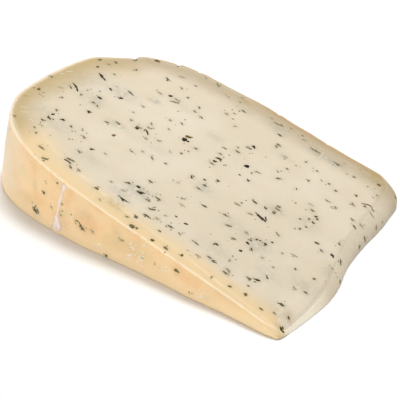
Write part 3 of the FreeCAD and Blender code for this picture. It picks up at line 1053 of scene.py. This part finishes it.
class Heap:
    """Many small closed lumps gathered into one mesh, in millimetres."""

    AROUND = 8                # points round a strip
    SPOKES = 12               # points round a fleck
    FULL_HALF = 0.25          # half width from which a strip has its whole rise and sink
    UNDERSIDE = -0.1          # lift below which a strip's points count as fringe
    STRIP_END = 0.25          # depth of a strip's ends, as a share of the sink
    # A fleck's rings from its crown down: share of its reach, and how much it counts as fringe.
    CROWN = (0.45, 0.2)
    SHOULDER = (0.8, 0.6)
    EDGE = (1.0, 1.0)
    ROOT = (0.6, 1.0)
    SHOULDER_RISE = 0.6       # height of the shoulder, as a share of the rise
    EDGE_DEPTH = 0.02
    ROOT_END = 1.1            # depth of the root's point, as a share of the sink
    SLANT = 0.6               # the greatest turn of a fleck, in radians
    REACHES = (0.5, 1.4)      # a spoke's length against the usual
    OWN_REACH = 0.6           # how much a spoke follows its own length and not the next one's

    def __init__(self, skin, rise, sink):
        self.skin = skin
        self.rise = rise
        self.sink = sink
        self.points = []
        self.faces = []
        self.values = {"shade": [], "rim": [], "veil": []}

    def add_lump(self, rings, rims, ends, shade, veil):
        """Rings of equal length, closed by a point at each end."""
        first = len(self.points)
        count = len(rings[0])
        for ring, rim in zip(rings, rims):
            self.points += ring
            self.values["rim"] += rim
        for row in range(len(rings) - 1):
            for k in range(count):
                here = first + row * count + k
                beside = first + row * count + (k + 1) % count
                self.faces.append((here, beside, beside + count, here + count))
        last_ring = first + (len(rings) - 1) * count
        start = len(self.points)
        self.points += ends
        self.values["rim"] += [1.0, 1.0]
        for k in range(count):
            self.faces.append((start, first + (k + 1) % count, first + k))
            self.faces.append((start + 1, last_ring + k, last_ring + (k + 1) % count))
        added = len(self.points) - first
        self.values["shade"] += [shade] * added
        self.values["veil"] += [veil] * added

    def add_strip(self, face, path, shade, veil):
        """A strip along a path on a face, whose points are two coordinates and a half width."""
        spare = self.skin.land(face, path[len(path) // 2][0], path[len(path) // 2][1])[0]
        if spare is None:
            return
        rings = []
        rims = []
        for i in range(1, len(path) - 1):
            a, b, half = path[i]
            run_a = path[i + 1][0] - path[i - 1][0]
            run_b = path[i + 1][1] - path[i - 1][1]
            run = math.hypot(run_a, run_b)
            fullness = min(1.0, half / self.FULL_HALF)
            ring = []
            rim = []
            for k in range(self.AROUND):
                turn = 2 * math.pi * k / self.AROUND
                across = math.cos(turn) * half
                lift = math.sin(turn)
                height = (lift * self.rise if lift > 0 else lift * self.sink) * fullness
                place_a = a - run_b / run * across
                place_b = b + run_a / run * across
                ring.append(self.skin.raised(face, place_a, place_b, height, spare))
                rim.append(abs(math.cos(turn)) if lift > self.UNDERSIDE else 1.0)
            rings.append(ring)
            rims.append(rim)
        end_height = -self.sink * self.STRIP_END
        ends = [self.skin.raised(face, *path[i][:2], end_height, spare) for i in (0, -1)]
        self.add_lump(rings, rims, ends, shade, veil)

    def add_fleck(self, face, a, b, width, shade, veil, picker, stretch=1.0):
        """A flat uneven fleck."""
        spare = self.skin.land(face, a, b)[0]
        if spare is None:
            return
        slant = picker.uniform(-self.SLANT, self.SLANT)
        lengths = [picker.uniform(*self.REACHES) for _ in range(self.SPOKES)]
        levels = (
            (*self.CROWN, self.rise),
            (*self.SHOULDER, self.rise * self.SHOULDER_RISE),
            (*self.EDGE, -self.EDGE_DEPTH),
            (*self.ROOT, -self.sink),
        )
        rings = []
        rims = []
        for share, rim, height in levels:
            ring = []
            for k in range(self.SPOKES):
                turn = 2 * math.pi * k / self.SPOKES
                beside = lengths[(k + 1) % self.SPOKES]
                length = lengths[k] * self.OWN_REACH + beside * (1 - self.OWN_REACH)
                reach = width / 2 * share * length
                long_way = math.cos(turn) * reach * stretch
                short_way = math.sin(turn) * reach / stretch
                place_a = a + long_way * math.cos(slant) - short_way * math.sin(slant)
                place_b = b + long_way * math.sin(slant) + short_way * math.cos(slant)
                ring.append(self.skin.raised(face, place_a, place_b, height, spare))
            rings.append(ring)
            rims.append([rim] * self.SPOKES)
        heights = (self.rise, -self.sink * self.ROOT_END)
        ends = [self.skin.raised(face, a, b, height, spare) for height in heights]
        self.add_lump(rings, rims, ends, shade, veil)

    def mesh(self, name):
        """The finished mesh, in metres. Nothing reaches below the table."""
        mesh = bpy.data.meshes.new(name)
        corners = [(point[0] * MM, point[1] * MM, max(point[2] * MM, 0.0)) for point in self.points]
        mesh.from_pydata(corners, [], self.faces)
        for key, values in self.values.items():
            set_value(mesh, key, values)
        mesh.polygons.foreach_set("use_smooth", np.ones(len(self.faces), bool))
        return mesh


BLADE_STEPS = (6, 16)         # fewest and most parts of a blade
STEPS_PER_MM = 4
BEND_MIDDLE = 0.4             # how the bend is shared between a blade's middle and its ends
TAPER = (1.6, 0.7)            # powers that shape a blade's outline
RAGGED_HALF = (0.55, 1.25)    # a ragged blade's half width against the smooth one's
RAGGED_ASIDE = 0.13           # how far its middle strays, as a share of its width


def blade_path(a, b, length, turn, width, bend, picker=None):
    """The path of a tapered, bent blade, ragged where a picker is given."""
    fewest, most = BLADE_STEPS
    steps = max(fewest, min(most, round(length * STEPS_PER_MM)))
    cos, sin = math.cos(math.radians(turn)), math.sin(math.radians(turn))
    path = []
    for i in range(steps + 1):
        t = 2 * i / steps - 1
        along = t * length / 2
        aside = bend * length * (BEND_MIDDLE - t * t) / 2
        half = width / 2 * max(0.0, 1 - abs(t) ** TAPER[0]) ** TAPER[1]
        if picker is not None:
            half *= picker.uniform(*RAGGED_HALF)
            aside += picker.uniform(-RAGGED_ASIDE, RAGGED_ASIDE) * width
        path.append((a + along * cos - aside * sin, b + along * sin + aside * cos, half))
    return path


class Sower:
    """Lays herbs, one by one and strewn, and remembers where they lie."""

    FLECK_RISE = 1.2          # a fleck's rise against a blade's
    WIDTHS = (0.7, 1.3)       # a blade's width against the usual
    WIDTH_LEAST = 0.7         # a very short blade's width against the usual
    WIDTH_PER_MM = 0.1        # how that share grows with the length
    BEND = 0.2                # the greatest bend to either side
    SPLINTER_FROM = 1.6       # the shortest blade that may have a splinter
    SPLINTER_ASIDE = (0.7, 1.3)       # how far aside it lies, in widths of the blade
    SPLINTER_ALONG = 0.45     # how far along it lies at most, in lengths of the blade
    SPLINTER_LENGTH = (0.35, 0.6)     # its length against the blade's
    SPLINTER_WIDTH = 0.6      # its width against the blade's
    SPLINTER_TURN = 18        # spread of its turn, in degrees
    SPLINTER_SHADE = 0.25     # how much lighter it is
    PARTNER_FROM = 1.1        # the widest fleck that lies without a smaller one
    PARTNER_AWAY = 0.65       # how far off the smaller one lies, in widths of the fleck
    PARTNER_WIDTH = 0.5       # its width against the fleck's
    PARTNER_SHADE = 0.3       # how much lighter it is
    PAIRED = 0.6              # share of the long blades and wide flecks that are not alone
    STRETCH = (0.95, 1.35)    # how much longer a fleck is drawn, and as much narrower
    SPECKLED = 0.5            # share of herbs with specks round them
    SPECKS = (1, 3)
    SPECK_SPREAD = 0.6        # how far a blade's specks spread, in lengths
    SPECK_SHADE = 0.4         # how much lighter than its herb a speck is, at most
    SPECK_VEIL = 0.4          # how much paste covers a speck, at most
    SPECK_WIDTH = (0.3, 0.6)
    SPECK_ROOM = 0.5          # free room that a speck needs
    STRAY_ROOM = 1.6          # and a strewn herb
    STRAY_BLADES = 0.55       # share of blades among the strewn herbs
    STRAY_LENGTH = (0.8, 2.8, 1.2)    # least, greatest and usual
    STRAY_TURN = (-8, 24)     # middle and spread of a strewn blade's turn
    STRAY_WIDTH = (0.4, 1.3, 0.6)     # least, greatest and usual
    TRIES = 30                # tries for each strewn herb
    DULL_PLACES = (-0.35, 0.0, 0.35)  # where a blade dulls the paste, in lengths from its middle
    BLADE_DULL = 0.55         # how strongly each place does
    FLECK_DULL = (0.8, 1.3)   # how strongly a fleck does for its width, and at most
    DULL_SPREAD = (0.4, 1.6)  # the least and greatest of the uneven part of that

    def __init__(self, skin, look, seed):
        self.picker = random.Random(seed)
        self.width = look.blade_width / MM
        self.growth = look.growth
        rise = look.rise / MM
        sink = look.sink / MM
        self.blades = Heap(skin, rise, sink)
        self.flecks = Heap(skin, rise * self.FLECK_RISE, sink)
        self.skin = skin
        self.taken = []
        self.spots = []

    def lay_blade(self, face, a, b, length, turn, shade, veil):
        """A ragged blade, with a splinter or specks beside some of them."""
        picker = self.picker
        length = length * self.growth
        width = self.width * picker.uniform(*self.WIDTHS) * (self.WIDTH_LEAST + self.WIDTH_PER_MM * length)
        bend = picker.uniform(-self.BEND, self.BEND)
        path = blade_path(a, b, length, turn, width, bend, picker)
        self.blades.add_strip(face, path, shade, veil)
        cos, sin = math.cos(math.radians(turn)), math.sin(math.radians(turn))
        if length > self.SPLINTER_FROM and picker.random() < self.PAIRED:
            aside = picker.choice((-1, 1)) * width * picker.uniform(*self.SPLINTER_ASIDE)
            along = picker.uniform(-self.SPLINTER_ALONG, self.SPLINTER_ALONG) * length
            place_a = a + along * cos - aside * sin
            place_b = b + along * sin + aside * cos
            short = length * picker.uniform(*self.SPLINTER_LENGTH)
            turned = turn + picker.gauss(0, self.SPLINTER_TURN)
            thin = width * self.SPLINTER_WIDTH
            path = blade_path(place_a, place_b, short, turned, thin, bend, picker)
            self.blades.add_strip(face, path, min(1.0, shade + self.SPLINTER_SHADE), veil)
        if picker.random() < self.SPECKLED:
            self.sprinkle(face, a, b, length * self.SPECK_SPREAD, picker.randint(*self.SPECKS), shade)
        self.taken.append((face, a, b))
        for share in self.DULL_PLACES:
            along = share * length
            self.dull(face, a + along * cos, b + along * sin, (1 - veil) * self.BLADE_DULL)

    def lay_fleck(self, face, a, b, width, shade, veil):
        """A fleck with a smaller one or specks beside some of them."""
        picker = self.picker
        width = width * self.growth
        self.flecks.add_fleck(face, a, b, width, shade, veil, picker, picker.uniform(*self.STRETCH))
        if width > self.PARTNER_FROM and picker.random() < self.PAIRED:
            turn = picker.uniform(0, 2 * math.pi)
            place_a = a + math.cos(turn) * width * self.PARTNER_AWAY
            place_b = b + math.sin(turn) * width * self.PARTNER_AWAY
            lighter = min(1.0, shade + self.PARTNER_SHADE)
            small = width * self.PARTNER_WIDTH
            self.flecks.add_fleck(face, place_a, place_b, small, lighter, veil, picker)
        if picker.random() < self.SPECKLED:
            self.sprinkle(face, a, b, width, picker.randint(*self.SPECKS), shade)
        self.taken.append((face, a, b))
        per_width, most = self.FLECK_DULL
        self.dull(face, a, b, (1 - veil) * min(most, width * per_width))

    def sprinkle(self, face, a, b, reach, count, shade):
        """Specks scattered about a place."""
        picker = self.picker
        for _ in range(count):
            place_a = a + picker.gauss(0, reach)
            place_b = b + picker.gauss(0, reach)
            lighter = min(1.0, shade + picker.uniform(0, self.SPECK_SHADE))
            veil = picker.uniform(0, self.SPECK_VEIL)
            if not self.skin.lies_open(face, place_a, place_b, self.SPECK_ROOM):
                continue
            width = picker.uniform(*self.SPECK_WIDTH)
            self.flecks.add_fleck(face, place_a, place_b, width, lighter, veil, picker)

    def dull(self, face, a, b, weight):
        """Remembers a place round which the paste is to be dulled."""
        place = self.skin.land(face, a, b)[0]
        if place is not None and face != "base":
            self.spots.append((np.array(place), weight * self.picker.uniform(*self.DULL_SPREAD)))

    def strew(self, face, count, low, high, gap, veils):
        """Small herbs at random between two corners of a face, kept apart from the rest."""
        picker = self.picker
        laid = 0
        for _ in range(count * self.TRIES):
            if laid == count:
                break
            a = picker.uniform(low[0], high[0])
            b = picker.uniform(low[1], high[1])
            near = any(one[0] == face and math.hypot(one[1] - a, one[2] - b) < gap for one in self.taken)
            if near or not self.skin.lies_open(face, a, b, self.STRAY_ROOM):
                continue
            veil = picker.uniform(*veils)
            if picker.random() < self.STRAY_BLADES:
                length = picker.triangular(*self.STRAY_LENGTH)
                self.lay_blade(face, a, b, length, picker.gauss(*self.STRAY_TURN), picker.random(), veil)
            else:
                width = picker.triangular(*self.STRAY_WIDTH)
                self.lay_fleck(face, a, b, width, picker.random(), veil)
            laid += 1


MOST_DULL = 0.6               # the most that haze or stain may cover


def dull_paste(spots, look):
    """Darkens the cheese's points round each herb: a wide grey haze and a narrow green stain."""
    mesh = bpy.data.objects[CHEESE].data
    points = np.empty(len(mesh.vertices) * 3, np.float32)
    mesh.vertices.foreach_get("co", points)
    points = points.reshape(-1, 3) / MM
    haze = np.zeros(len(points), np.float32)
    stain = np.zeros(len(points), np.float32)
    for place, weight in spots:
        away = np.linalg.norm(points - place, axis=1)
        haze += bell(away, look.haze_reach / MM) * weight * look.haze_share
        stain += bell(away, look.stain_reach / MM) * weight * look.stain_share
    for name, added in (("haze", haze), ("stain", stain)):
        values = np.empty(len(points), np.float32)
        attribute = mesh.attributes[name]
        attribute.data.foreach_get("value", values)
        attribute.data.foreach_set("value", np.minimum(values + added, MOST_DULL))
    mesh.update()


# What makes a herb lighter: its own shade, its fringe and its mottling.
OWN_SHADE = 0.7
FRINGE_SHADE = 0.3
MOTTLE_SHADE = 0.8
HERB_SHADES = (0.15, 0.95)    # the shades at which a herb is darkest and lightest


def herb_material(name, look, dark, light):
    """A dried herb: dark with a lighter fringe, duller where paste covers it."""
    shader = material(name)
    here = shader.place()
    mottle = shader.noise(here, size=0.5, detail=3.0, roughness=0.6)
    own_shade = shader.attribute("shade") * OWN_SHADE
    fringe = shader.attribute("rim") * FRINGE_SHADE
    shade = own_shade + fringe + (mottle - 0.5) * MOTTLE_SHADE
    colour = shader.mix(shader.ramp(shade, *HERB_SHADES), dark, light)
    colour = shader.mix(shader.attribute("veil"), colour, look.veil)
    veins = shader.noise(shader.stretched(here, x=0.5, y=2.0), size=0.3)
    return shader.surface(
        {
            "Base Color": colour,
            "Roughness": shader.ramp(mottle, 0.3, 0.7, low=0.5, high=0.75),
            "Normal": shader.bump(veins, distance=0.05),
            "Specular IOR Level": 0.05,
        }
    )


HERB_SEED = 11
# The herbs laid one by one on the cut: places, least and greatest shade, and least and greatest veil.
BLADE_SETS = ((BLACK_BLADES, (0.0, 0.3), (0.0, 0.1)), (GREEN_BLADES, (0.2, 0.8), (0.0, 0.3)))
FLECK_SETS = ((BLACK_FLECKS, (0.0, 0.2), (0.0, 0.05)), (GREEN_FLECKS, (0.4, 0.95), (0.0, 0.3)))
RIND_BLADE_LOOK = (0.7, 0.15)     # shade and veil of those on the rind
RIND_FLECK_LOOK = (0.6, 0.2)
BROWN_LOOK = (0.5, 0.1)
STALK_LOOK = (0.3, 0.0)
STALK_RISE = 2                # a stalk's rise against a fleck's
# The herbs strewn on the cuts: least distance apart, and least and greatest veil.
TOP_STREWN = (2.6, (0.15, 0.7))
BASE_STREWN = (2.2, (0.0, 0.5))
# The same for the sides, with how many.
SIDES_STREWN = (
    ("near", 10, 4.0, (0.4, 0.8)), ("far", 14, 4.0, (0.2, 0.7)), ("heel", 12, 4.0, (0.3, 0.7)),
    ("tip", 14, 3.0, (0.1, 0.6)),
)


def lay_by_hand(sower):
    """The herbs whose places are given in the tables."""
    picker = sower.picker
    for marks, shades, veils in BLADE_SETS:
        for mark in marks:
            sower.lay_blade("top", *mark, picker.uniform(*shades), picker.uniform(*veils))
    for marks, shades, veils in FLECK_SETS:
        for mark in marks:
            sower.lay_fleck("top", *mark, picker.uniform(*shades), picker.uniform(*veils))
    for mark in RIND_BLADES:
        sower.lay_blade("near", *mark, *RIND_BLADE_LOOK)
    for mark in RIND_FLECKS:
        sower.lay_fleck("near", *mark, *RIND_FLECK_LOOK)


def strew_all(sower, look):
    """The herbs strewn over every face, within the solid's box."""
    low, high = (np.array(corner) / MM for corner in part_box(NODE))
    cuts = (("top", look.strays, *TOP_STREWN), ("base", look.under, *BASE_STREWN))
    for face, count, gap, veils in cuts + SIDES_STREWN:
        axes = [list(axis).index(1) for axis in FACES[face][:2]]
        sower.strew(face, count, low[axes], high[axes], gap, veils)


def stalk_path():
    """The one long stalk, thin and hooked at an end."""
    start_x, start_y, length, rise, half = 48.6, 27.3, 5.2, 2.2, 0.24
    hook = 1.4                # the stalk turns level at one part in this of its length
    steps = 14
    path = []
    for i in range(steps + 1):
        t = i / steps
        x = start_x + length * t
        y = start_y + rise * math.sin(min(1.0, t * hook) * math.pi / 2)
        path.append((x, y, half * math.sin(math.pi * t) ** 0.5))
    return path


class GOUDA_OT_herbs(bpy.types.Operator):
    """Lays the herbs into the cuts and the rind"""

    bl_idname = "gouda.herbs"
    bl_label = "Lay the herbs"

    def execute(self, context):
        look = context.scene.gouda_herbs
        skin = Skin()
        sower = Sower(skin, look, HERB_SEED)
        lay_by_hand(sower)
        strew_all(sower, look)
        dull_paste(sower.spots, look)
        herb = herb_material("herb", look, look.black, look.green)
        add_object("herb_blades", sower.blades.mesh("herb_blades"), herb)
        add_object("herb_flecks", sower.flecks.mesh("herb_flecks"), herb)
        stalks = Heap(skin, sower.flecks.rise * STALK_RISE, sower.flecks.sink)
        stalks.add_strip("top", stalk_path(), *STALK_LOOK)
        for mark in BROWN_FLECKS:
            stalks.add_fleck("top", *mark, *BROWN_LOOK, sower.picker)
        brown = herb_material("stalk", look, look.brown, look.green)
        add_object("herb_stalks", stalks.mesh("herb_stalks"), brown)
        return {"FINISHED"}


# ---------------------------------------------------------------- coating, flakes and shavings

COAT_SEED = 23
# How far each kind stands out and reaches in.
COATING_HEIGHTS = (0.14, 0.2)
FLAKE_HEIGHTS = (0.07, 0.15)
SHAVING_HEIGHTS = (0.05, 0.1)
COATING_STEPS = 40
COATING_HALF = (0.75, 1.2)    # the coating's uneven half width against the table's
CRUST_FLECKS = 22             # flecks of coating about its thick end
CRUST_X = (-21.1, 0.9)        # middle and spread
CRUST_Z = (1.5, 6.5)          # least and greatest
CRUST_WIDTH = (0.3, 0.9)
FLAKE_SPREAD = 0.9            # how far flakes stray from their arc
FLAKE_BEND = (0.06, 1.4)      # factor and power of the arc's lean over its height
FLAKE_WIDTH = (0.2, 0.9, 0.3)     # least, greatest and usual
FLAKE_STRETCH = (0.8, 1.6)
SHAVING_WIDTH = 0.26


def pale_material(name, colour, under, grain):
    """Dry pale matter with darker specks, which are about grain millimetres across."""
    shader = material(name)
    here = shader.place()
    specks = shader.noise(here, grain, detail=3.0, roughness=0.7)
    return shader.surface(
        {
            "Base Color": shader.mix(shader.ramp(specks, 0.45, 0.75), colour, under),
            "Roughness": shader.ramp(specks, 0.3, 0.7, low=0.55, high=0.8),
            "Normal": shader.bump(specks, distance=0.06),
            "Specular IOR Level": 0.3,
        }
    )


def fine_path(points, steps, picker):
    """A path's points spaced evenly by their second coordinate, with uneven half widths."""
    points = np.array(points)
    levels = np.linspace(points[0, 1], points[-1, 1], steps)
    order = np.argsort(points[:, 1])
    across = np.interp(levels, points[order, 1], points[order, 0])
    half = np.interp(levels, points[order, 1], points[order, 2])
    return [(a, b, w * picker.uniform(*COATING_HALF)) for a, b, w in zip(across, levels, half)]


def coating_heap(skin, picker):
    """The coating that has run down the crease, with a crust at its foot."""
    heap = Heap(skin, *COATING_HEIGHTS)
    heap.add_strip("near", fine_path(CREASE, COATING_STEPS, picker), 0.0, 0.0)
    middle, spread = CRUST_X
    for _ in range(CRUST_FLECKS):
        x = middle + picker.gauss(0, spread)
        heap.add_fleck("near", x, picker.uniform(*CRUST_Z), picker.uniform(*CRUST_WIDTH), 0, 0, picker)
    return heap


def flake_heap(skin, picker):
    """Dry flakes along their leaning arcs."""
    heap = Heap(skin, *FLAKE_HEIGHTS)
    factor, power = FLAKE_BEND
    for x, low, high, count in FLAKE_ARCS:
        for _ in range(count):
            z = picker.uniform(low, high)
            place = x + factor * (z - low) ** power + picker.gauss(0, FLAKE_SPREAD)
            width = picker.triangular(*FLAKE_WIDTH)
            heap.add_fleck("near", place, z, width, 0, 0, picker, picker.uniform(*FLAKE_STRETCH))
    return heap


def shaving_heap(skin):
    """Thin curls of paste along the knife's marks."""
    heap = Heap(skin, *SHAVING_HEIGHTS)
    for start_x, start_y, end_x, end_y, bend in KNIFE_MARKS:
        length = math.hypot(end_x - start_x, end_y - start_y)
        turn = math.degrees(math.atan2(end_y - start_y, end_x - start_x))
        middle = ((start_x + end_x) / 2, (start_y + end_y) / 2)
        heap.add_strip("top", blade_path(*middle, length, turn, SHAVING_WIDTH, bend), 0, 0)
    return heap


class GOUDA_OT_coat(bpy.types.Operator):
    """Lays the coating and dry flakes on the rind, and the knife's marks on the cut"""

    bl_idname = "gouda.coat"
    bl_label = "Lay coating and flakes"

    def execute(self, context):
        look = context.scene.gouda_coat
        body = context.scene.gouda_body
        skin = Skin()
        picker = random.Random(COAT_SEED)
        coating = pale_material("coating", look.coating, body.rind_pale, grain=0.5)
        flake = pale_material("flake", look.flake, body.rind_pale, grain=0.3)
        shaving = pale_material("shaving", look.shaving, body.paste, grain=0.4)
        for name, heap, surface, slot in (
            ("rind_coating", coating_heap(skin, picker), coating, "rind_coat"),
            ("rind_flakes", flake_heap(skin, picker), flake, "rind_coat"),
            ("knife_marks", shaving_heap(skin), shaving, "cheese"),
        ):
            add_object(name, heap.mesh(name), surface)
        return {"FINISHED"}


# ---------------------------------------------------------------- the stage


# Each lamp's place, width and height, in metres. It looks at the middle of the cheese's foot.
TOP_LAMP = (Vector((-0.1, 0.22, 0.9)), 0.35, 0.35)
FRONT_LAMP = (Vector((-0.25, -0.8, 0.09)), 1.2, 0.12)
FLOOR_HALF = 3.0
SENSOR = 36.0                 # the camera sensor's width in millimetres
NEAREST = 0.01                # the nearest that the camera sees, in metres


class GOUDA_OT_stage(bpy.types.Operator):
    """Sets the camera, the floor and the light"""

    bl_idname = "gouda.stage"
    bl_label = "Set the stage"

    def execute(self, context):
        stage = context.scene.gouda_stage
        add_camera(stage)
        add_floor(stage)
        add_world(stage)
        add_lamp("top_lamp", *TOP_LAMP, stage.top_lamp)
        add_lamp("front_lamp", *FRONT_LAMP, stage.front_lamp)
        return {"FINISHED"}


def add_camera(stage):
    """A camera at its azimuth and elevation about the aim, turned by its roll."""
    back = Vector(
        (
            math.sin(stage.azimuth) * math.cos(stage.elevation),
            -math.cos(stage.azimuth) * math.cos(stage.elevation),
            math.sin(stage.elevation),
        )
    )
    level = Vector((math.cos(stage.azimuth), math.sin(stage.azimuth), 0))
    right = level * math.cos(stage.roll) + back.cross(level) * math.sin(stage.roll)
    data = bpy.data.cameras.new("camera")
    data.lens = stage.lens
    data.sensor_width = SENSOR
    data.clip_start = NEAREST
    camera = bpy.data.objects.new("camera", data)
    place = Vector(stage.aim) + back * stage.distance
    turn = Matrix((right, back.cross(right), back)).transposed()
    camera.matrix_world = Matrix.Translation(place) @ turn.to_4x4()
    bpy.context.scene.collection.objects.link(camera)
    bpy.context.scene.camera = camera


def add_floor(stage):
    """A wide white floor that keeps the cheese's shadow."""
    mesh = bpy.data.meshes.new("floor")
    corners = [(x * FLOOR_HALF, y * FLOOR_HALF, 0) for x, y in ((-1, -1), (1, -1), (1, 1), (-1, 1))]
    mesh.from_pydata(corners, [], [(0, 1, 2, 3)])
    shader = material("floor")
    matt = shader.node("ShaderNodeBsdfDiffuse", {}, {"Color": (*stage.floor, 1.0)})
    shader.node("ShaderNodeOutputMaterial", {}, {"Surface": matt})
    mesh.materials.append(shader.owner)
    floor = bpy.data.objects.new("floor", mesh)
    bpy.context.scene.collection.objects.link(floor)


def add_world(stage):
    """Even light, which the camera, gloss and glass see as white."""
    world = bpy.data.worlds.new("world")
    bpy.context.scene.world = world
    shader = Shader(world)
    seen = shader.node("ShaderNodeLightPath", output="Is Camera Ray")
    seen = seen + shader.node("ShaderNodeLightPath", output="Is Glossy Ray")
    seen = seen + shader.node("ShaderNodeLightPath", output="Is Transmission Ray")
    strength = shader.ramp(seen, 0.0, 1.0, stage.world, 1.0)
    light = shader.node("ShaderNodeBackground", {}, {"Color": (1, 1, 1, 1), "Strength": strength})
    shader.node("ShaderNodeOutputWorld", {}, {"Surface": light})


def add_lamp(name, spot, width, height, power):
    """A soft lamp that looks at the cheese."""
    lamp = bpy.data.lights.new(name, "AREA")
    lamp.shape = "RECTANGLE"
    lamp.size = width
    lamp.size_y = height
    lamp.energy = power
    holder = bpy.data.objects.new(name, lamp)
    holder.matrix_world = Matrix.Translation(spot) @ spot.to_track_quat("Z", "Y").to_matrix().to_4x4()
    bpy.context.scene.collection.objects.link(holder)


# ---------------------------------------------------------------- panel and start

SETTINGS = {
    "gouda_body": GoudaBodySettings,
    "gouda_herbs": GoudaHerbSettings,
    "gouda_coat": GoudaCoatSettings,
    "gouda_stage": GoudaStageSettings,
}


class GOUDA_PT_panel(bpy.types.Panel):
    """Lists the parts of the cheese and their settings"""

    bl_idname = "GOUDA_PT_panel"
    bl_label = "Goat gouda"
    bl_space_type = "VIEW_3D"
    bl_region_type = "UI"
    bl_category = "Gouda"

    def draw(self, context):
        for name, group in SETTINGS.items():
            box = self.layout.box()
            box.operator(name.replace("_", ".", 1))
            for setting in group.__annotations__:
                box.prop(getattr(context.scene, name), setting)


CLASSES = (
    *SETTINGS.values(), GOUDA_OT_body, GOUDA_OT_herbs, GOUDA_OT_coat, GOUDA_OT_stage, GOUDA_PT_panel,
)


def register():
    """Adds the operators, the panel and the settings."""
    for one in CLASSES:
        bpy.utils.register_class(one)
    for name, group in SETTINGS.items():
        setattr(bpy.types.Scene, name, bpy.props.PointerProperty(type=group))


def unregister():
    """Takes them away again."""
    for name in SETTINGS:
        delattr(bpy.types.Scene, name)
    for one in reversed(CLASSES):
        bpy.utils.unregister_class(one)


def main():
    """Makes every piece."""
    register()
    bpy.context.scene.view_settings.view_transform = "Standard"
    bpy.ops.gouda.body()
    bpy.ops.gouda.herbs()
    bpy.ops.gouda.coat()
    bpy.ops.gouda.stage()


if __name__ == "__main__":
    main()
